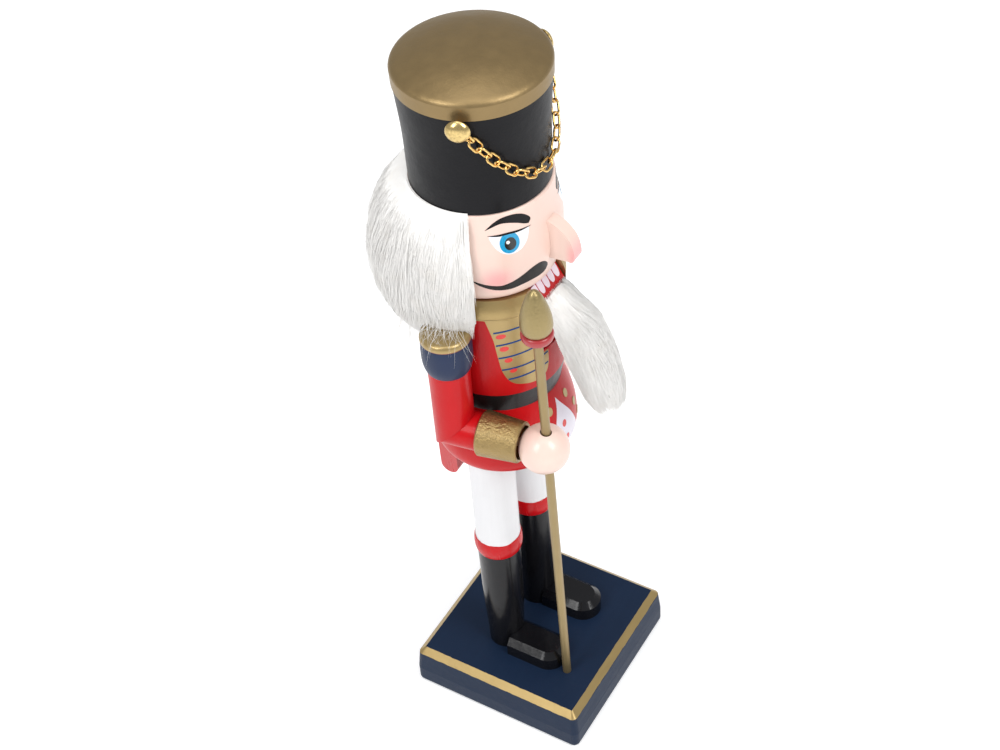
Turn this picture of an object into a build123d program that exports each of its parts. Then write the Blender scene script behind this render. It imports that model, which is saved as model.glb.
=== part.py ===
"""Wooden nutcracker soldier, 378 mm tall: sub-parts in one shared frame.

Units are millimetres. X is the figure's left, the figure faces -Y, Z is up.
The origin is the centre of the base board's underside.
"""
from build123d import *
from math import sin, cos, radians, degrees, pi, sqrt, atan2
import os

os.makedirs("parts", exist_ok=True)

# ---------------------------------------------------------------- dimensions
BASE_X = 95.4               # nearly square base board
BASE_Y = 94.8
BASE_H = 24.4
BASE_CORNER_R = 3.4
BASE_BEVEL = 3.3            # bevel round the top
BASE_LEAN = 1.1             # the sides lean in by this much
BASE_LEAN_Z = 10.0          # above this height

LEG_X = 16.0                # leg axes at x = +-16
LEG_Y = 10.0
LEG_TOP = 164.6             # underside of the torso
KNEE_LOW, KNEE_TOP = 95.5, 105.5
PEG_R = 4.0                 # turned pegs on both ends of a leg
PEG_L = 11.0
PEG_PLAY = 0.05

TORSO_Y = 10.5              # turning axis of the torso
NECK_Z = 268.8              # top of the torso, underside of the head
WAIST_R, WAIST_Z = 27.5, 201.6
BELT_R, BELT_Z = 29.8, 213.0

HEAD_Y = 12.5               # turning axis of head and hat
HEAD_TOP = 314.8
HAT_TOP = 378.3
BAND_Z = 363.4              # lower edge of the gold band

LEVER_W = 22.0              # sawn jaw board, thickness along X
LEVER_GAP = 0.5             # play on each side of the board in its slot
PIVOT_Y, PIVOT_Z = 11.0, 234.0
PIN_R = 2.5
PIN_PLAY = 0.06
PIN_L = 58.0

ARM_X, ARM_Y = 39.0, 11.7   # upper arm axis
SHOULDER_Z = 252.9          # top of the turned arm, under the epaulette
ELBOW_Z = 199.0
ARM_R = 9.2
CAP_R = 11.25
TURN_IN = 8.0               # forearm turned inward, degrees
CUFF_S1, CUFF_S2 = 13.2, 32.4
CUFF_R1, CUFF_R2 = 10.6, 9.45
CUFF_WALL = 1.6
HAND = (-32.6, -30.2, 198.3)
HAND_R = 11.5
SPLAY, SWEPT = 4.7, 2.5     # straight left arm, outward and backward, degrees

STAFF_FOOT = Vector(-22.5, -28.8, 24.4)
STAFF_DIR = Vector(-0.05559, -0.01547, 0.99833)
STAFF_R = 2.1
STAFF_HOLE_R = 2.6
RING_L1, RING_L2, RING_R = 244.6, 249.2, 7.05
TIP_L = 272.4

TACK_Z = 361.6
TACK_ANGLE = 68.0           # from the front, degrees
TACK_R = 5.1
TACK_LIFT = 3.9             # underside of the dome above the hat
SHANK_R = 0.8
SAG_Z = 328.5               # lowest point of the chain, at the front
LINK_WIRE_R = 0.5
LINK_INNER_L, LINK_INNER_W = 5.6, 3.0


# ------------------------------------------------------------------ helpers
def turning_plane(origin, direction):
    """Plane whose local x is the radius and local y runs along the axis."""
    d = Vector(*direction).normalized()
    guess = Vector(1, 0, 0) if abs(d.X) < 0.9 else Vector(0, 1, 0)
    u = (guess - d * guess.dot(d)).normalized()
    return Plane(origin=origin, x_dir=u, z_dir=u.cross(d))


def turned(runs, origin=(0, 0, 0), direction=(0, 0, 1)):
    """Turned solid. runs is a list of point lists: 2 points make a line,
    more points make a smooth curve. The first and last points lie on the axis."""
    plane = turning_plane(Vector(*origin), direction)
    with BuildPart() as solid:
        with BuildSketch(plane):
            with BuildLine():
                for pts in runs:
                    if len(pts) == 2:
                        Line(pts[0], pts[1])
                    else:
                        Spline(*pts)
                Line(runs[-1][-1], runs[0][0])
            make_face()
        revolve(axis=Axis(Vector(*origin), Vector(*direction)))
    return solid


def rod(p, q, r):
    """Plain round rod from p to q."""
    p, q = Vector(*p), Vector(*q)
    d = q - p
    with BuildPart() as solid:
        with BuildSketch(Plane(origin=p, z_dir=d.normalized())):
            Circle(r)
        extrude(amount=d.length)
    return solid


def finish(part, label):
    part.part.label = label
    export_step(part.part, f"parts/{label}.step")
    print(label, round(part.part.volume, 1))


def hat_radius(z):
    """Outside radius of the hat wall at height z."""
    table = [(314.0, 30.1), (328.0, 30.35), (340.0, 30.6), (352.0, 31.4), (363.4, 32.35)]
    for (z0, r0), (z1, r1) in zip(table, table[1:]):
        if z <= z1:
            return r0 + (r1 - r0) * max(0.0, z - z0) / (z1 - z0)
    return table[-1][1]


# --------------------------------------------------------------- base board
def plan(z, inset, radius):
    """Outline of the board at height z, set in all round."""
    with BuildSketch(Plane.XY.offset(z)) as outline:
        RectangleRounded(BASE_X - 2 * inset, BASE_Y - 2 * inset, radius)
    return outline.sketch


# the sides lean in a little towards the top, then comes a broad bevel
with BuildPart() as base_board:
    with BuildSketch():
        RectangleRounded(BASE_X, BASE_Y, BASE_CORNER_R)
    extrude(amount=BASE_LEAN_Z)
    loft([plan(BASE_LEAN_Z, 0, BASE_CORNER_R),
          plan(BASE_H - BASE_BEVEL, BASE_LEAN, BASE_CORNER_R - 0.6)], ruled=True)
    loft([plan(BASE_H - BASE_BEVEL, BASE_LEAN, BASE_CORNER_R - 0.6),
          plan(BASE_H, BASE_LEAN + BASE_BEVEL, 0.8)], ruled=True)
    fillet(base_board.faces().sort_by(Axis.Z)[0].edges(), 2.4)
    with Locations((-LEG_X, LEG_Y, BASE_H), (LEG_X, LEG_Y, BASE_H)):
        Cylinder(PEG_R, PEG_L + 0.6, align=(Align.CENTER, Align.CENTER, Align.MAX),
                 mode=Mode.SUBTRACT)
finish(base_board, "base_board")


# --------------------------------------------------------------------- legs
def leg(x):
    peg = PEG_R - PEG_PLAY
    runs = [
        [(0, BASE_H - PEG_L), (peg, BASE_H - PEG_L)],
        [(peg, BASE_H - PEG_L), (peg, BASE_H)],
        [(peg, BASE_H), (9.0, BASE_H)],
        [(9.0, BASE_H), (9.25, 35.0), (10.1, 55.0), (10.4, 76.0), (10.7, KNEE_LOW)],
        [(10.7, KNEE_LOW), (11.15, KNEE_LOW + 0.5)],
        [(11.15, KNEE_LOW + 0.5), (11.75, 98.4), (11.9, 100.6), (11.8, 103.0),
         (11.35, KNEE_TOP)],
        [(11.35, KNEE_TOP), (10.9, KNEE_TOP + 0.4)],
        [(10.9, KNEE_TOP + 0.4), (11.0, LEG_TOP)],
        [(11.0, LEG_TOP), (peg, LEG_TOP)],
        [(peg, LEG_TOP), (peg, LEG_TOP + PEG_L)],
        [(peg, LEG_TOP + PEG_L), (0, LEG_TOP + PEG_L)],
    ]
    return turned(runs, (x, LEG_Y, 0))


for side, x in (("right", -LEG_X), ("left", LEG_X)):
    finish(leg(x), f"leg_{side}")


# -------------------------------------------------------------------- shoes
def shoe(x, boot_x):
    """Half-round block glued in front of the boot, facets round the toe."""
    half = 9.4
    with BuildPart() as block:
        with BuildSketch(Plane.XY.offset(BASE_H)):
            with BuildLine():
                Line((x - half, 3.0), (x + half, 3.0))
                Line((x + half, 3.0), (x + half, -16.6))
                ThreePointArc((x + half, -16.6), (x, -25.6), (x - half, -16.6))
                Line((x - half, -16.6), (x - half, 3.0))
            make_face()
        extrude(amount=10.3)
        top = block.faces().sort_by(Axis.Z)[-1]
        rim = [e for e in top.edges() if e.center().Y < 2.9]
        chamfer(rim, 3.1)
        with Locations((boot_x, LEG_Y, BASE_H)):
            Cylinder(9.4, 14.0, align=(Align.CENTER, Align.CENTER, Align.MIN),
                     mode=Mode.SUBTRACT)
    return block


# the toes point slightly apart, so the blocks sit outside the middles of the boots
for side, middle, boot_x in (("right", -18.4, -LEG_X), ("left", 17.6, LEG_X)):
    finish(shoe(middle, boot_x), f"shoe_{side}")

# -------------------------------------------------------------------- torso
# the profile of the lever's slot, in (y, z), open at the front, top, back and below
SLOT = [(-45, 275), (-45, 233.0), (-2.0, 233.0), (10.5, 218.0), (25.0, 184.0), (32.4, 156.0),
        (32.4, 150), (62, 150), (62, 234.0), (27.0, 234.0), (4.4, 260.0), (-0.8, 275)]
TORSO_RUNS = [
    [(0, LEG_TOP), (29.8, LEG_TOP)],
    [(29.8, LEG_TOP), (32.1, 166.6), (33.3, 170.0), (33.6, 174.5), (33.1, 182.0),
     (31.3, 190.5), (28.9, 198.0), (WAIST_R, WAIST_Z)],
    [(WAIST_R, WAIST_Z), (BELT_R, BELT_Z)],
    [(BELT_R, BELT_Z), (30.1, 222.0), (30.6, 236.0), (31.0, 248.0), (31.2, 259.5)],
    [(31.2, 259.5), (31.7, 260.1)],
    [(31.7, 260.1), (31.75, 262.6), (31.0, 265.4), (29.5, NECK_Z)],
    [(29.5, NECK_Z), (0, NECK_Z)],
]
torso_blank = turned(TORSO_RUNS, (0, TORSO_Y, 0))
with BuildPart() as torso:
    add(torso_blank.part)
    with BuildSketch(Plane.YZ.offset(-(LEVER_W / 2 + LEVER_GAP))):
        with BuildLine():
            Polyline(*SLOT, close=True)
        make_face()
    extrude(amount=LEVER_W + 2 * LEVER_GAP, mode=Mode.SUBTRACT)
    # hinge pin, leg pegs, shoulder dowels and neck dowels
    with Locations(Location((0, PIVOT_Y, PIVOT_Z), (0, 90, 0))):
        Cylinder(PIN_R + 0.02, PIN_L + 0.4, mode=Mode.SUBTRACT)
    with Locations((-LEG_X, LEG_Y, LEG_TOP), (LEG_X, LEG_Y, LEG_TOP)):
        Cylinder(PEG_R, PEG_L + 0.6, align=(Align.CENTER, Align.CENTER, Align.MIN),
                 mode=Mode.SUBTRACT)
    with Locations(Location((-22.0, ARM_Y, 246.0), (0, 90, 0)),
                   Location((22.0, ARM_Y, 246.0), (0, 90, 0))):
        Cylinder(3.05, 24.0, mode=Mode.SUBTRACT)
    with Locations((-19.0, HEAD_Y, NECK_Z), (19.0, HEAD_Y, NECK_Z)):
        Cylinder(3.05, 10.5, align=(Align.CENTER, Align.CENTER, Align.MAX),
                 mode=Mode.SUBTRACT)
finish(torso, "torso")

# --------------------------------------------------------------- head, nose
NOSE = [(-17.5, 301.4), (-22.0, 301.0), (-25.4, 299.3), (-28.5, 296.6), (-30.9, 293.2),
        (-32.0, 289.6), (-32.4, 286.4), (-32.1, 284.2), (-31.0, 283.0), (-29.0, 282.9)]
NOSE_W = 6.3


with BuildPart() as nose:
    with BuildSketch(Plane.YZ.offset(-NOSE_W / 2)):
        with BuildLine():
            Spline(*NOSE)
            Line(NOSE[-1], (-15.0, 281.4))
            Line((-15.0, 281.4), (-15.0, 301.4))
            Line((-15.0, 301.4), NOSE[0])
        make_face()
    extrude(amount=NOSE_W)
finish(nose, "nose")


HEAD_RUNS = [
    [(0, NECK_Z), (28.6, NECK_Z)],
    [(28.6, NECK_Z), (29.3, 269.4), (31.4, 275.0), (33.1, 283.0), (33.7, 290.5), (33.1, 298.0),
     (31.8, 305.0), (31.1, 310.5), (30.9, 313.9)],
    [(30.9, 313.9), (30.3, HEAD_TOP)],
    [(30.3, HEAD_TOP), (0, HEAD_TOP)],
]
with BuildPart() as head:
    add(turned(HEAD_RUNS, (0, HEAD_Y, 0)).part)
    add(nose.part, mode=Mode.SUBTRACT)
    with Locations((-19.0, HEAD_Y, NECK_Z), (19.0, HEAD_Y, NECK_Z)):
        Cylinder(3.05, 10.5, align=(Align.CENTER, Align.CENTER, Align.MIN),
                 mode=Mode.SUBTRACT)
    with Locations((0, HEAD_Y, HEAD_TOP)):
        Cylinder(5.05, 10.5, align=(Align.CENTER, Align.CENTER, Align.MAX),
                 mode=Mode.SUBTRACT)
finish(head, "head")

with BuildPart() as neck_dowels:
    with Locations((-19.0, HEAD_Y, NECK_Z), (19.0, HEAD_Y, NECK_Z)):
        Cylinder(3.0, 20.0)
finish(neck_dowels, "neck_dowels")

# ---------------------------------------------------------------------- hat
HAT_RUNS = [
    [(0, HEAD_TOP), (29.6, HEAD_TOP)],
    [(29.6, HEAD_TOP), (30.1, HEAD_TOP + 0.5)],
    [(30.1, HEAD_TOP + 0.5), (30.35, 328.0), (30.6, 340.0), (31.4, 352.0), (32.35, BAND_Z)],
    [(32.35, BAND_Z), (32.75, BAND_Z + 0.25)],
    [(32.75, BAND_Z + 0.25), (32.95, 369.9)],
    [(32.95, 369.9), (32.3, 371.2), (29.5, 372.9), (22.0, 375.6), (12.0, 377.6), (0, HAT_TOP)],
]
with BuildPart() as hat:
    add(turned(HAT_RUNS, (0, HEAD_Y, 0)).part)
    with Locations((0, HEAD_Y, HEAD_TOP)):
        Cylinder(5.05, 10.5, align=(Align.CENTER, Align.CENTER, Align.MIN),
                 mode=Mode.SUBTRACT)
    for s in (-1, 1):
        a = radians(TACK_ANGLE)
        mouth = Vector(s * sin(a) * 33.5, HEAD_Y - cos(a) * 33.5, TACK_Z)
        axis = Vector(s * sin(a), -cos(a), 0)
        with Locations(Plane(origin=mouth - axis * 5.0, z_dir=axis)):
            Cylinder(SHANK_R + 0.02, 10.2, mode=Mode.SUBTRACT)
finish(hat, "hat")
finish(rod((0, HEAD_Y, HEAD_TOP - 10), (0, HEAD_Y, HEAD_TOP + 10), 5.0), "hat_dowel")

# -------------------------------------------------- jaw lever and hinge pin
LEVER_FRONT = [(-13.8, 267.9), (-22.3, 253.6)]
with BuildPart() as jaw_lever:
    with BuildSketch(Plane.YZ.offset(-LEVER_W / 2)):
        with BuildLine():
            Line((-4.0, 267.9), (-13.8, 267.9))
            Line((-13.8, 267.9), (-22.3, 253.6))
            Line((-22.3, 253.6), (-21.0, 249.4))
            Spline((-21.0, 249.4), (-12.0, 247.4), (-3.0, 240.4), (8.0, 226.0),
                   (20.0, 205.0), (29.0, 180.0), (33.3, 152.0), (33.35, 133.5))
            ThreePointArc((33.35, 133.5), (38.05, 128.6), (42.75, 133.5))
            Spline((42.75, 133.5), (42.75, 158.0), (39.6, 184.0), (31.0, 211.0),
                   (18.0, 236.0), (4.0, 255.0), (-4.0, 267.9))
        make_face()
    extrude(amount=LEVER_W)
    with Locations(Location((0, PIVOT_Y, PIVOT_Z), (0, 90, 0))):
        Cylinder(PIN_R + PIN_PLAY, LEVER_W + 2, mode=Mode.SUBTRACT)
finish(jaw_lever, "jaw_lever")
finish(rod((-PIN_L / 2, PIVOT_Y, PIVOT_Z), (PIN_L / 2, PIVOT_Y, PIVOT_Z), PIN_R), "lever_pin")

# ---------------------------------------------------------------- right arm
ARM_TOP_RUNS = [
    [(0, SHOULDER_Z), (10.9, SHOULDER_Z)],
    [(10.9, SHOULDER_Z), (11.15, 250.5), (CAP_R, 246.0), (11.1, 241.5), (10.5, 238.2),
     (9.75, 236.2)],
    [(9.75, 236.2), (9.4, 235.7)],
]
EPAULETTE_RUNS = [
    [(0, SHOULDER_Z), (10.9, SHOULDER_Z)],
    [(10.9, SHOULDER_Z), (11.2, SHOULDER_Z + 0.5), (11.15, SHOULDER_Z + 2.0),
     (10.6, SHOULDER_Z + 3.1), (9.6, SHOULDER_Z + 3.6)],
    [(9.6, SHOULDER_Z + 3.6), (0, SHOULDER_Z + 3.75)],
]


FORE_DIR = Vector(sin(radians(TURN_IN)), -cos(radians(TURN_IN)), 0)
ELBOW = Vector(-ARM_X, ARM_Y, ELBOW_Z)
MITRE = (Vector(0, 0, -1) + FORE_DIR).normalized()   # normal of the sawn elbow plane
HAND_V = Vector(*HAND)
WRIST = ELBOW + FORE_DIR * (CUFF_S1 + 12.0)
WRIST_DIR = (WRIST - HAND_V).normalized()

right_blank = turned(
    ARM_TOP_RUNS + [[(9.4, 235.7), (ARM_R, 225.0)], [(ARM_R, 225.0), (ARM_R, 182.0)],
                    [(ARM_R, 182.0), (0, 182.0)]], (-ARM_X, ARM_Y, 0))
with BuildPart() as upper_arm_right:
    add(right_blank.part)
    with BuildSketch(Plane(origin=ELBOW, z_dir=MITRE)):
        Rectangle(90, 90)
    extrude(amount=60, mode=Mode.SUBTRACT)
    add(torso_blank.part, mode=Mode.SUBTRACT)
    with Locations(Plane(origin=ELBOW, z_dir=MITRE)):
        Cylinder(2.05, 16.4, mode=Mode.SUBTRACT)
    with Locations(Location((-31.5, ARM_Y, 246.0), (0, 90, 0))):
        Cylinder(3.05, 14.5, mode=Mode.SUBTRACT)
finish(upper_arm_right, "upper_arm_right")

fore_blank = turned(
    [[(0, -20), (8.9, -20)], [(8.9, -20), (8.8, CUFF_S1 + 12.0)],
     [(8.8, CUFF_S1 + 12.0), (0, CUFF_S1 + 12.0)]], ELBOW, FORE_DIR)
with BuildPart() as forearm_right:
    add(fore_blank.part)
    add(torso_blank.part, mode=Mode.SUBTRACT)
    with BuildSketch(Plane(origin=ELBOW, z_dir=-MITRE)):
        Rectangle(90, 90)
    extrude(amount=60, mode=Mode.SUBTRACT)
    with Locations(Plane(origin=ELBOW, z_dir=MITRE)):
        Cylinder(2.05, 16.4, mode=Mode.SUBTRACT)
    with Locations(Plane(origin=WRIST, z_dir=WRIST_DIR)):
        Cylinder(2.05, 16.4, mode=Mode.SUBTRACT)
finish(forearm_right, "forearm_right")


def cuff(origin, direction):
    """Tapered gold cuff: bored for the forearm from one end, hollow at the other."""
    bore, seat = 8.95, CUFF_S1 + 12.0
    outline = [(bore, CUFF_S1), (CUFF_R1 - 0.5, CUFF_S1), (CUFF_R1, CUFF_S1 + 0.6),
               (CUFF_R2 + 0.03, CUFF_S2 - 0.5), (CUFF_R2 - 0.4, CUFF_S2),
               (CUFF_R2 - CUFF_WALL, CUFF_S2), (CUFF_R2 - CUFF_WALL, seat), (bore, seat)]
    with BuildPart() as solid:
        with BuildSketch(turning_plane(Vector(*origin), direction)):
            with BuildLine():
                Polyline(*outline, close=True)
            make_face()
        revolve(axis=Axis(Vector(*origin), Vector(*direction)))
    return solid


with BuildPart() as cuff_right:
    add(cuff(ELBOW, FORE_DIR).part)
    add(torso_blank.part, mode=Mode.SUBTRACT)
finish(cuff_right, "cuff_right")


def hand(centre, inward, bore=None):
    """Turned ball, drilled for its dowel and, on the right, for the staff."""
    with BuildPart() as ball:
        with Locations(Vector(*centre)):
            Sphere(HAND_R)
        with Locations(Plane(origin=Vector(*centre) + inward * HAND_R, z_dir=inward)):
            Cylinder(2.05, 12.4, mode=Mode.SUBTRACT)
        if bore is not None:
            foot, direction = bore
            mid = foot + direction * (Vector(*centre) - foot).dot(direction)
            with Locations(Plane(origin=mid, z_dir=direction)):
                Cylinder(STAFF_HOLE_R, 40, mode=Mode.SUBTRACT)
    return ball


finish(hand(HAND, WRIST_DIR, (STAFF_FOOT, STAFF_DIR)), "hand_right")

# ----------------------------------------------------------------- left arm
LEFT_TOP = Vector(ARM_X, ARM_Y, SHOULDER_Z)
LEFT_DIR = Vector(sin(radians(SPLAY)), sin(radians(SWEPT)), -1).normalized()
REACH = SHOULDER_Z - ELBOW_Z
left_blank = turned(
    [[(r, SHOULDER_Z - z) for r, z in run] for run in ARM_TOP_RUNS]
    + [[(9.4, SHOULDER_Z - 235.7), (ARM_R, 28.0)], [(ARM_R, 28.0), (ARM_R, REACH)],
       [(ARM_R, REACH), (0, REACH)]], LEFT_TOP, LEFT_DIR)
with BuildPart() as upper_arm_left:
    add(left_blank.part)
    add(torso_blank.part, mode=Mode.SUBTRACT)
    with Locations(Plane(origin=LEFT_TOP + LEFT_DIR * REACH, z_dir=LEFT_DIR)):
        Cylinder(2.05, 16.4, mode=Mode.SUBTRACT)
    with Locations(Location((31.5, ARM_Y, 246.0), (0, 90, 0))):
        Cylinder(3.05, 14.5, mode=Mode.SUBTRACT)
finish(upper_arm_left, "upper_arm_left")

LEFT_ELBOW = LEFT_TOP + LEFT_DIR * REACH
fore_blank_left = turned(
    [[(0, 0), (8.9, 0)], [(8.9, 0), (8.8, CUFF_S1 + 12.0)],
     [(8.8, CUFF_S1 + 12.0), (0, CUFF_S1 + 12.0)]], LEFT_ELBOW, LEFT_DIR)
with BuildPart() as forearm_left:
    add(fore_blank_left.part)
    with Locations(Plane(origin=LEFT_ELBOW, z_dir=LEFT_DIR)):
        Cylinder(2.05, 16.4, mode=Mode.SUBTRACT)
    with Locations(Plane(origin=LEFT_ELBOW + LEFT_DIR * (CUFF_S1 + 12.0), z_dir=LEFT_DIR)):
        Cylinder(2.05, 16.4, mode=Mode.SUBTRACT)
finish(forearm_left, "forearm_left")
finish(cuff(LEFT_ELBOW, LEFT_DIR), "cuff_left")
LEFT_HAND = LEFT_ELBOW + LEFT_DIR * 42.6
finish(hand(LEFT_HAND, LEFT_DIR * -1), "hand_left")


# ----------------------------------------------------- epaulettes and dowels
def epaulette(origin, direction):
    runs = [[(r, z - SHOULDER_Z) for r, z in run] for run in EPAULETTE_RUNS]
    with BuildPart() as solid:
        add(turned(runs, origin, direction).part)
        add(torso_blank.part, mode=Mode.SUBTRACT)
    return solid


finish(epaulette((-ARM_X, ARM_Y, SHOULDER_Z), (0, 0, 1)), "epaulette_right")
finish(epaulette(LEFT_TOP, LEFT_DIR * -1), "epaulette_left")

with BuildPart() as shoulder_dowels:
    with Locations(Location((-24.5, ARM_Y, 246.0), (0, 90, 0)),
                   Location((24.5, ARM_Y, 246.0), (0, 90, 0))):
        Cylinder(3.0, 24.0)
finish(shoulder_dowels, "shoulder_dowels")

with BuildPart() as elbow_dowels:
    with Locations(Plane(origin=ELBOW, z_dir=MITRE), Plane(origin=LEFT_ELBOW, z_dir=LEFT_DIR)):
        Cylinder(2.0, 16.0)
finish(elbow_dowels, "elbow_dowels")


with BuildPart() as hand_dowels:
    add(rod(HAND_V + WRIST_DIR * (HAND_R - 5.9), HAND_V + WRIST_DIR * 24.0, 2.0).part)
    add(rod(LEFT_HAND - LEFT_DIR * (HAND_R - 5.9), LEFT_HAND - LEFT_DIR * 24.0, 2.0).part)
finish(hand_dowels, "hand_dowels")


# -------------------------------------------------------------------- staff
with BuildPart() as staff_rod:
    add(rod(STAFF_FOOT - STAFF_DIR * 1.0, STAFF_FOOT + STAFF_DIR * (RING_L2 + 4.0), STAFF_R).part)
    with Locations((STAFF_FOOT.X, STAFF_FOOT.Y, BASE_H + 0.03)):
        Box(20, 20, 10, align=(Align.CENTER, Align.CENTER, Align.MAX), mode=Mode.SUBTRACT)
finish(staff_rod, "staff_rod")
ring_hole = STAFF_R + 0.02
with BuildPart() as staff_ring:
    with BuildSketch(turning_plane(STAFF_FOOT, STAFF_DIR)):
        with BuildLine():
            Line((ring_hole, RING_L1), (RING_R - 1.3, RING_L1))
            Spline((RING_R - 1.3, RING_L1), (RING_R - 0.2, RING_L1 + 1.2),
                   (RING_R, RING_L1 + 2.6), (RING_R - 0.35, RING_L1 + 4.1),
                   (RING_R - 1.2, RING_L2))
            Line((RING_R - 1.2, RING_L2), (ring_hole, RING_L2))
            Line((ring_hole, RING_L2), (ring_hole, RING_L1))
        make_face()
    revolve(axis=Axis(STAFF_FOOT, STAFF_DIR))
finish(staff_ring, "staff_ring")

egg = turned(
    [[(0, RING_L2), (5.7, RING_L2)],
     [(5.7, RING_L2), (6.75, 251.2), (7.0, 254.0), (6.55, 258.2), (5.5, 262.7), (4.05, 267.0),
      (2.3, 270.7), (0, TIP_L)]], STAFF_FOOT, STAFF_DIR)
with BuildPart() as staff_finial:
    add(egg.part)
    with Locations(Plane(origin=STAFF_FOOT + STAFF_DIR * RING_L2, z_dir=STAFF_DIR)):
        Cylinder(STAFF_R + 0.02, 8.6, mode=Mode.SUBTRACT)
finish(staff_finial, "staff_finial")


# ------------------------------------------------------- hat tacks and chain
def tack(s):
    a = radians(TACK_ANGLE)
    n = Vector(s * sin(a), -cos(a), 0)
    r0 = hat_radius(TACK_Z)
    foot = Vector(0, HEAD_Y, TACK_Z) + n * (r0 - 6.5)
    lift = 6.5 + TACK_LIFT
    return turned(
        [[(0, 0), (SHANK_R, 1.6)], [(SHANK_R, 1.6), (SHANK_R, lift)],
         [(SHANK_R, lift), (TACK_R - 0.5, lift)],
         [(TACK_R - 0.5, lift), (TACK_R, lift + 0.45), (TACK_R - 0.35, lift + 1.2),
          (3.6, lift + 2.2), (1.9, lift + 2.8), (0, lift + 3.0)]], foot, n)


with BuildPart() as hat_tacks:
    add(tack(-1).part)
    add(tack(1).part)
finish(hat_tacks, "hat_tacks")


def chain_point(u):
    """Point of the draped line, u from -1 (right tack) to 1 (left tack)."""
    w = abs(u)
    z = SAG_Z + (TACK_Z - SAG_Z) * w * w * (1 + 0.05 * (1 - w) * w)
    r = hat_radius(z) + 1.85
    a = radians(TACK_ANGLE * u)
    return Vector(sin(a) * r, HEAD_Y - cos(a) * r, z)


def even_stations(count):
    """Parameters u that split the draped line into equal lengths."""
    steps = 2000
    pts = [chain_point(-1 + 2 * i / steps) for i in range(steps + 1)]
    run = [0.0]
    for a, b in zip(pts, pts[1:]):
        run.append(run[-1] + (b - a).length)
    print("chain line length", round(run[-1], 1), "pitch", round(run[-1] / (count - 1), 3))
    out = []
    k = 0
    for j in range(count):
        want = run[-1] * j / (count - 1)
        while run[k] < want - 1e-9:
            k += 1
        out.append(-1 + 2 * k / steps)
    return out


def link(centre, along, normal):
    """One oval wire link. along is its long direction, normal stands on its plane."""
    plane = Plane(origin=centre, x_dir=along, z_dir=normal)
    half_w = LINK_INNER_W / 2 + LINK_WIRE_R
    half_l = LINK_INNER_L / 2 + LINK_WIRE_R - half_w
    with BuildPart() as wire_link:
        with BuildLine(plane) as path:
            Line((-half_l, half_w), (half_l, half_w))
            ThreePointArc((half_l, half_w), (half_l + half_w, 0), (half_l, -half_w))
            Line((half_l, -half_w), (-half_l, -half_w))
            ThreePointArc((-half_l, -half_w), (-half_l - half_w, 0), (-half_l, half_w))
        with BuildSketch(Plane(origin=path.line @ 0, z_dir=path.line % 0)):
            Circle(LINK_WIRE_R)
        sweep(path=path.line)
    return wire_link


LINKS = 21
stations = even_stations(LINKS)
with BuildPart() as hat_chain:
    for j, u in enumerate(stations):
        c = chain_point(u)
        t = (chain_point(min(1.0, u + 0.01)) - chain_point(max(-1.0, u - 0.01))).normalized()
        radial = Vector(c.X, c.Y - HEAD_Y, 0).normalized()
        n0 = (radial - t * radial.dot(t)).normalized()
        side = t.cross(n0)
        roll = 36.0 if j % 2 else -36.0
        a = radians(roll)
        n = n0 * cos(a) + side * sin(a)
        if j == 0:
            c = c + t * (LINK_INNER_L / 2 - SHANK_R - 0.15)
        if j == LINKS - 1:
            c = c - t * (LINK_INNER_L / 2 - SHANK_R - 0.15)
        add(link(c, t, n).part)
finish(hat_chain, "hat_chain")


# ------------------------------------------------------------ hair and beard
def beard_section(y, z, tilt, half_x, half_t):
    """Ellipse across the beard, tilt is the slope of its centre line."""
    d = Vector(0, cos(radians(tilt)), sin(radians(tilt)))
    return Plane(origin=(0, y, z), x_dir=(1, 0, 0), z_dir=d), half_x, half_t


with BuildPart() as beard:
    for y, z, tilt, hx, ht in ((-19.5, 261.6, -121, 10.4, 1.3), (-25.0, 252.4, -126, 11.2, 4.6),
                               (-32.0, 243.0, -122, 12.2, 9.0),
                               (-38.4, 228.0, -112, 11.6, 9.6), (-42.6, 214.0, -104, 9.0, 7.4),
                               (-44.6, 204.0, -98, 4.6, 3.6)):
        plane, a, b = beard_section(y, z, tilt, hx, ht)
        with BuildSketch(plane):
            Ellipse(a, b)
    loft()
    # the beard sits on the chin
    add(jaw_lever.part, mode=Mode.SUBTRACT)
finish(beard, "beard")

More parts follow.
